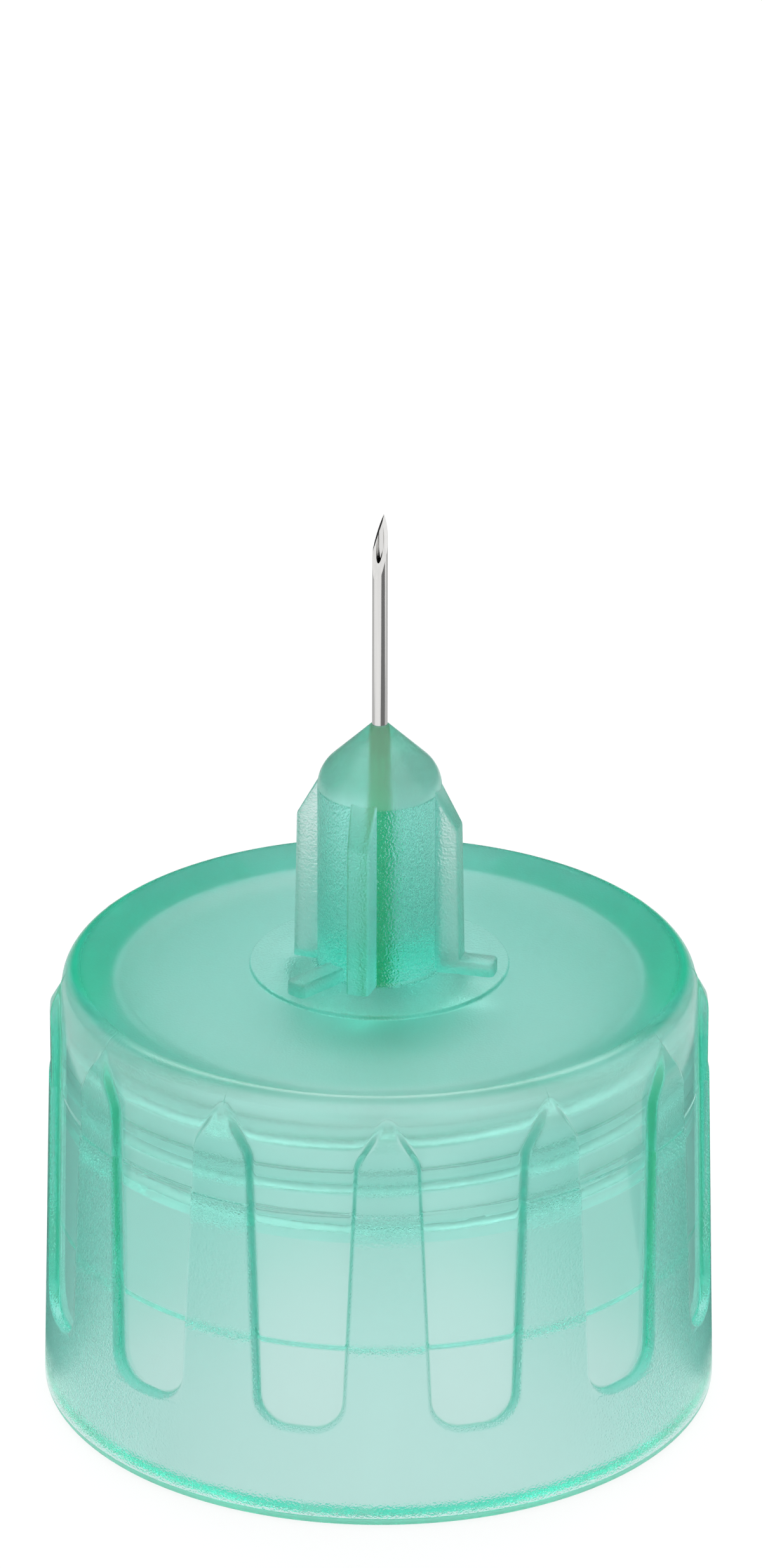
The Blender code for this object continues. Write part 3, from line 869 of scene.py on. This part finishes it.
def drawn_steel():
    """Stainless steel, drawn into a tube and electropolished: bright, with fine lines along it.

    Its stretch in the hub, where it is bonded in, is matt, and painted the plastic's green: painted shade for
    the steel seen dim through the plastic.
    """
    material, tree, shader = new_material("drawn stainless steel")
    place = add_node(tree, "ShaderNodeTexCoord")
    stretched = add_node(tree, "ShaderNodeMapping",
                         {"Scale": (1.0, 1.0, DRAW_LINE_WIDTH / DRAW_LINE_LENGTH)},
                         {"Vector": place.outputs["Object"]})
    lines = add_node(tree, "ShaderNodeTexNoise", {"Scale": 1 / DRAW_LINE_WIDTH, "Detail": 2.0},
                     {"Vector": stretched.outputs["Vector"]})
    parts = add_node(tree, "ShaderNodeSeparateXYZ", links={"Vector": place.outputs["Object"]})
    bond_middle = (TOWER_TOP + BEAD_TOP) / 2
    bond_reach = TOWER_TOP - bond_middle
    climb = add_node(tree, "ShaderNodeMath", {"operation": "SUBTRACT", 1: bond_middle},
                     {0: parts.outputs["Z"]})
    distance = add_node(tree, "ShaderNodeMath", {"operation": "ABSOLUTE"}, {0: climb.outputs[0]})
    bonded = add_node(tree, "ShaderNodeMapRange",
                      {"From Min": bond_reach, "From Max": bond_reach - BOND_END},
                      {"Value": distance.outputs[0]})
    bright = add_node(tree, "ShaderNodeMix",
                      {"data_type": "RGBA", "A": linear("D2D1D0"), "B": linear("E4E3E1")},
                      {"Factor": lines.outputs["Fac"]})
    # Painted shade: the bonded stretch is painted deep green, for the steel seen dim and green through the
    # plastic
    colour = add_node(tree, "ShaderNodeMix", {"data_type": "RGBA", "B": linear("00CC96")},
                      {"Factor": bonded.outputs["Result"], "A": bright.outputs["Result"]})
    polish = add_node(tree, "ShaderNodeMapRange", {"To Min": 0.10, "To Max": 0.18},
                      {"Value": lines.outputs["Fac"]})
    roughness = add_node(tree, "ShaderNodeMath", {"operation": "MULTIPLY_ADD", 1: BONDED_ROUGHNESS},
                         {0: bonded.outputs["Result"], 2: polish.outputs["Result"]})
    relief = add_node(tree, "ShaderNodeBump", {"Strength": 1.0, "Distance": DRAW_LINE_DEPTH},
                      {"Height": lines.outputs["Fac"]})
    set_node(tree, shader, {"Metallic": 1.0}, {
        "Base Color": colour.outputs["Result"],
        "Roughness": roughness.outputs[0],
        "Normal": relief.outputs["Normal"],
    })
    return material


def cured_acrylate():
    """Clear acrylate adhesive, cured by light: its skin shrinks into soft ripples with duller patches."""
    material, tree, shader = new_material("cured acrylate adhesive")
    place = add_node(tree, "ShaderNodeTexCoord")
    ripples = add_node(tree, "ShaderNodeTexNoise", {"Scale": 1 / RIPPLE_WIDTH, "Detail": 2.0},
                       {"Vector": place.outputs["Object"]})
    gloss = add_node(tree, "ShaderNodeMapRange", {"To Min": 0.04, "To Max": 0.16},
                     {"Value": ripples.outputs["Fac"]})
    relief = add_node(tree, "ShaderNodeBump", {"Strength": 1.0, "Distance": RIPPLE_DEPTH},
                      {"Height": ripples.outputs["Fac"]})
    set_node(tree, shader, {"Base Color": linear("EEF4EE"), "Transmission Weight": 1.0, "IOR": 1.48},
             {"Roughness": gloss.outputs["Result"], "Normal": relief.outputs["Normal"]})
    return material


# Stage

CAMERA_DISTANCE = 200 * MM
CAMERA_ELEVATION = math.radians(27.6)
CAMERA_ROLL = math.radians(0.11)
CAMERA_NEAR = 1 * MM
CAMERA_FAR = 10000 * MM
PHOTO_WIDTH = 1200
PHOTO_HEIGHT = 2470
AXIS_PIXEL_COLUMN = 598
BASE_PIXEL_ROW = 2158.2
FOCAL_PIXELS = 17272
SENSOR_HEIGHT = 24.0
FLOOR_REACH = 1500 * MM
FLOOR_WHITE = 1.03
FLOOR_SHADED_THROUGH_PLASTIC = 0.865
FLOOR_GLOW_SHARE = 0.85
CARD_DISTANCE = 18 * MM
CARD_LENGTH = 30 * MM
CARD_STEP = 0.1 * MM
GLOSS_CARDS = (
    ("left_card", math.radians(-127), 70 * MM, "AFAFAF"),
    ("right_card", math.radians(128), 36 * MM, "B4B4B4"),
    ("dark_card", math.radians(52), 34 * MM, "6A6A6A"),
)
SCREEN_TURN = math.radians(85)
SCREEN_STEPS = 24
SCREEN_GREY = "303030"
SCREENS = (
    ("dark_screen", (60 * MM, 0.1 * MM), (60 * MM, 75 * MM)),
    ("dark_mat", (6.4 * MM, 0.05 * MM), (17.5 * MM, 0.05 * MM)),
)
STRIP_LENGTH = 300 * MM
STRIP_WIDTH = 25 * MM
STRIP_DISTANCE = 250 * MM
STRIP_ELEVATION = math.radians(55)
STRIP_BRIGHTNESS = 12.0
STUDIO_BRIGHTNESS = 1.13
LIGHT_BOUNCES = 32
DIFFUSE_BOUNCES = 16


def make_camera():
    """Camera at the photo's viewing angle, worked out from the hub's ellipses."""
    data = bpy.data.cameras.new("camera")
    data.sensor_fit = "VERTICAL"
    data.sensor_height = SENSOR_HEIGHT
    data.lens = FOCAL_PIXELS / PHOTO_HEIGHT * SENSOR_HEIGHT
    data.clip_start = CAMERA_NEAR
    data.clip_end = CAMERA_FAR
    camera = bpy.data.objects.new("camera", data)
    bpy.context.scene.collection.objects.link(camera)
    aside = (PHOTO_WIDTH / 2 - AXIS_PIXEL_COLUMN) / FOCAL_PIXELS * CAMERA_DISTANCE
    camera.location = (aside, -CAMERA_DISTANCE * math.cos(CAMERA_ELEVATION),
                       CAMERA_DISTANCE * math.sin(CAMERA_ELEVATION))
    pitch_up = math.atan((BASE_PIXEL_ROW - PHOTO_HEIGHT / 2) / FOCAL_PIXELS)
    tilt = Matrix.Rotation(math.pi / 2 - CAMERA_ELEVATION + pitch_up, 4, "X")
    roll = Matrix.Rotation(CAMERA_ROLL, 4, "Z")
    camera.matrix_world = Matrix.Translation(camera.location) @ tilt @ roll
    bpy.context.scene.camera = camera


def make_floor():
    """Floor of white paper, which glows where it is looked at, straight or through plastic or in gloss.

    Through plastic it glows a little less, as painted shade for the hub's shadow on it, and the rest of its
    white is lit, so it takes a faint shadow.
    """
    bm = bmesh.new()
    bmesh.ops.create_grid(bm, x_segments=1, y_segments=1, size=FLOOR_REACH)
    floor = make_piece("floor", bm, sharp_angle=math.pi)
    material = bpy.data.materials.new("white sweep paper")
    material.use_nodes = True
    tree = material.node_tree
    tree.nodes.clear()
    path = add_node(tree, "ShaderNodeLightPath").outputs
    straight = add_node(tree, "ShaderNodeMath", {"operation": "MAXIMUM"},
                        {0: path["Is Camera Ray"], 1: path["Is Glossy Ray"]})
    seen = add_node(tree, "ShaderNodeMath", {"operation": "MAXIMUM"},
                    {0: straight.outputs[0], 1: path["Is Transmission Ray"]})
    share = add_node(tree, "ShaderNodeMath", {"operation": "MULTIPLY", 1: FLOOR_GLOW_SHARE},
                     {0: seen.outputs[0]})
    # Painted shade: the glow is lower for rays that come through the plastic
    level = add_node(tree, "ShaderNodeMapRange", {"To Min": FLOOR_WHITE, "To Max": FLOOR_SHADED_THROUGH_PLASTIC},
                     {"Value": path["Is Transmission Ray"]})
    paper = add_node(tree, "ShaderNodeBsdfDiffuse", {"Color": linear("F3F3F3")})
    glow = add_node(tree, "ShaderNodeEmission", {"Color": linear("FFFFFF")},
                    {"Strength": level.outputs["Result"]})
    mix = add_node(tree, "ShaderNodeMixShader",
                   links={0: share.outputs[0], 1: paper.outputs[0], 2: glow.outputs[0]})
    add_node(tree, "ShaderNodeOutputMaterial", links={"Surface": mix.outputs[0]})
    floor.data.materials.append(material)
    floor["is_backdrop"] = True


def make_strip_lamp():
    """Long soft strip over and behind the hub, which gives the top's rounded edge its thin light line."""
    data = bpy.data.lights.new("strip_lamp", "AREA")
    data.shape = "RECTANGLE"
    data.size = STRIP_LENGTH
    data.size_y = STRIP_WIDTH
    data.energy = STRIP_BRIGHTNESS * math.pi * STRIP_LENGTH * STRIP_WIDTH
    lamp = bpy.data.objects.new("strip_lamp", data)
    bpy.context.scene.collection.objects.link(lamp)
    away = Vector((0, math.cos(STRIP_ELEVATION), math.sin(STRIP_ELEVATION)))
    lamp.location = Vector((0, 0, HUB_HEIGHT)) + away * STRIP_DISTANCE
    lamp.rotation_euler = (STRIP_ELEVATION - math.pi / 2, 0, 0)


def set_up_for_gloss(name, bm, colour):
    """Stand a matt card by the hub that only gloss shows."""
    card = make_piece(name, bm, sharp_angle=math.pi)
    material, tree, shader = new_material(name.replace("_", " "))
    set_node(tree, shader, {"Base Color": linear(colour), "Specular IOR Level": 0.0})
    card.data.materials.append(material)
    card.visible_camera = False
    card.visible_diffuse = False
    card.visible_transmission = False
    card.visible_shadow = False
    card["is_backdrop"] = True


def make_screens():
    """Dark screen and mat curved round behind the hub, which keep white gloss off its deep green edges."""
    for name, *line in SCREENS:
        bm = bmesh.new()
        verts = [bm.verts.new(facing(SCREEN_TURN) * radius + Vector((0, 0, height)))
                 for radius, height in line]
        edge = bm.edges.new(verts)
        bmesh.ops.spin(bm, geom=verts + [edge], cent=(0, 0, 0), axis=(0, 0, 1),
                       angle=2 * (math.pi - SCREEN_TURN), steps=SCREEN_STEPS)
        set_up_for_gloss(name, bm, SCREEN_GREY)


def make_cards():
    """Grey cards lying round the hub, out of the picture, which the steel mirrors as its grey bands."""
    for level, (name, turn, width, colour) in enumerate(GLOSS_CARDS, start=1):
        bm = bmesh.new()
        bmesh.ops.create_grid(bm, x_segments=1, y_segments=1, size=0.5)
        bmesh.ops.scale(bm, verts=bm.verts, vec=(width, CARD_LENGTH, 1))
        middle = Vector((0, -CARD_DISTANCE - CARD_LENGTH / 2, CARD_STEP * level))
        bmesh.ops.translate(bm, verts=bm.verts, vec=middle)
        bmesh.ops.rotate(bm, verts=bm.verts, cent=(0, 0, 0), matrix=Matrix.Rotation(turn, 3, "Z"))
        set_up_for_gloss(name, bm, colour)


def make_world():
    """Even white studio light from all sides."""
    world = bpy.data.worlds.new("studio")
    bpy.context.scene.world = world
    world.use_nodes = True
    tree = world.node_tree
    set_node(tree, tree.nodes["Background"], {"Color": linear("FFFFFF"), "Strength": STUDIO_BRIGHTNESS})


def main():
    """Make the three pieces, hide the solid each one stands in for, and set the stage."""
    hub = make_hub()
    hub.data.materials.append(moulded_polypropylene())
    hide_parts("hub")
    tube = make_tube()
    tube.data.materials.append(drawn_steel())
    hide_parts("needle_tube")
    bead = make_adhesive()
    bead.data.materials.append(cured_acrylate())
    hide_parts("adhesive")
    for piece in (hub, tube, bead):
        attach(piece, "root")
    make_floor()
    make_cards()
    make_screens()
    make_strip_lamp()
    make_world()
    make_camera()
    scene = bpy.context.scene
    scene.view_settings.view_transform = "Standard"
    scene.cycles.max_bounces = LIGHT_BOUNCES
    scene.cycles.transmission_bounces = LIGHT_BOUNCES
    scene.cycles.glossy_bounces = LIGHT_BOUNCES
    scene.cycles.diffuse_bounces = DIFFUSE_BOUNCES


main()
for name, box in (("cad", cad_box), ("visual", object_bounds())):
    print(name, [[round(value * 1000, 3) for value in corner] for corner in box])
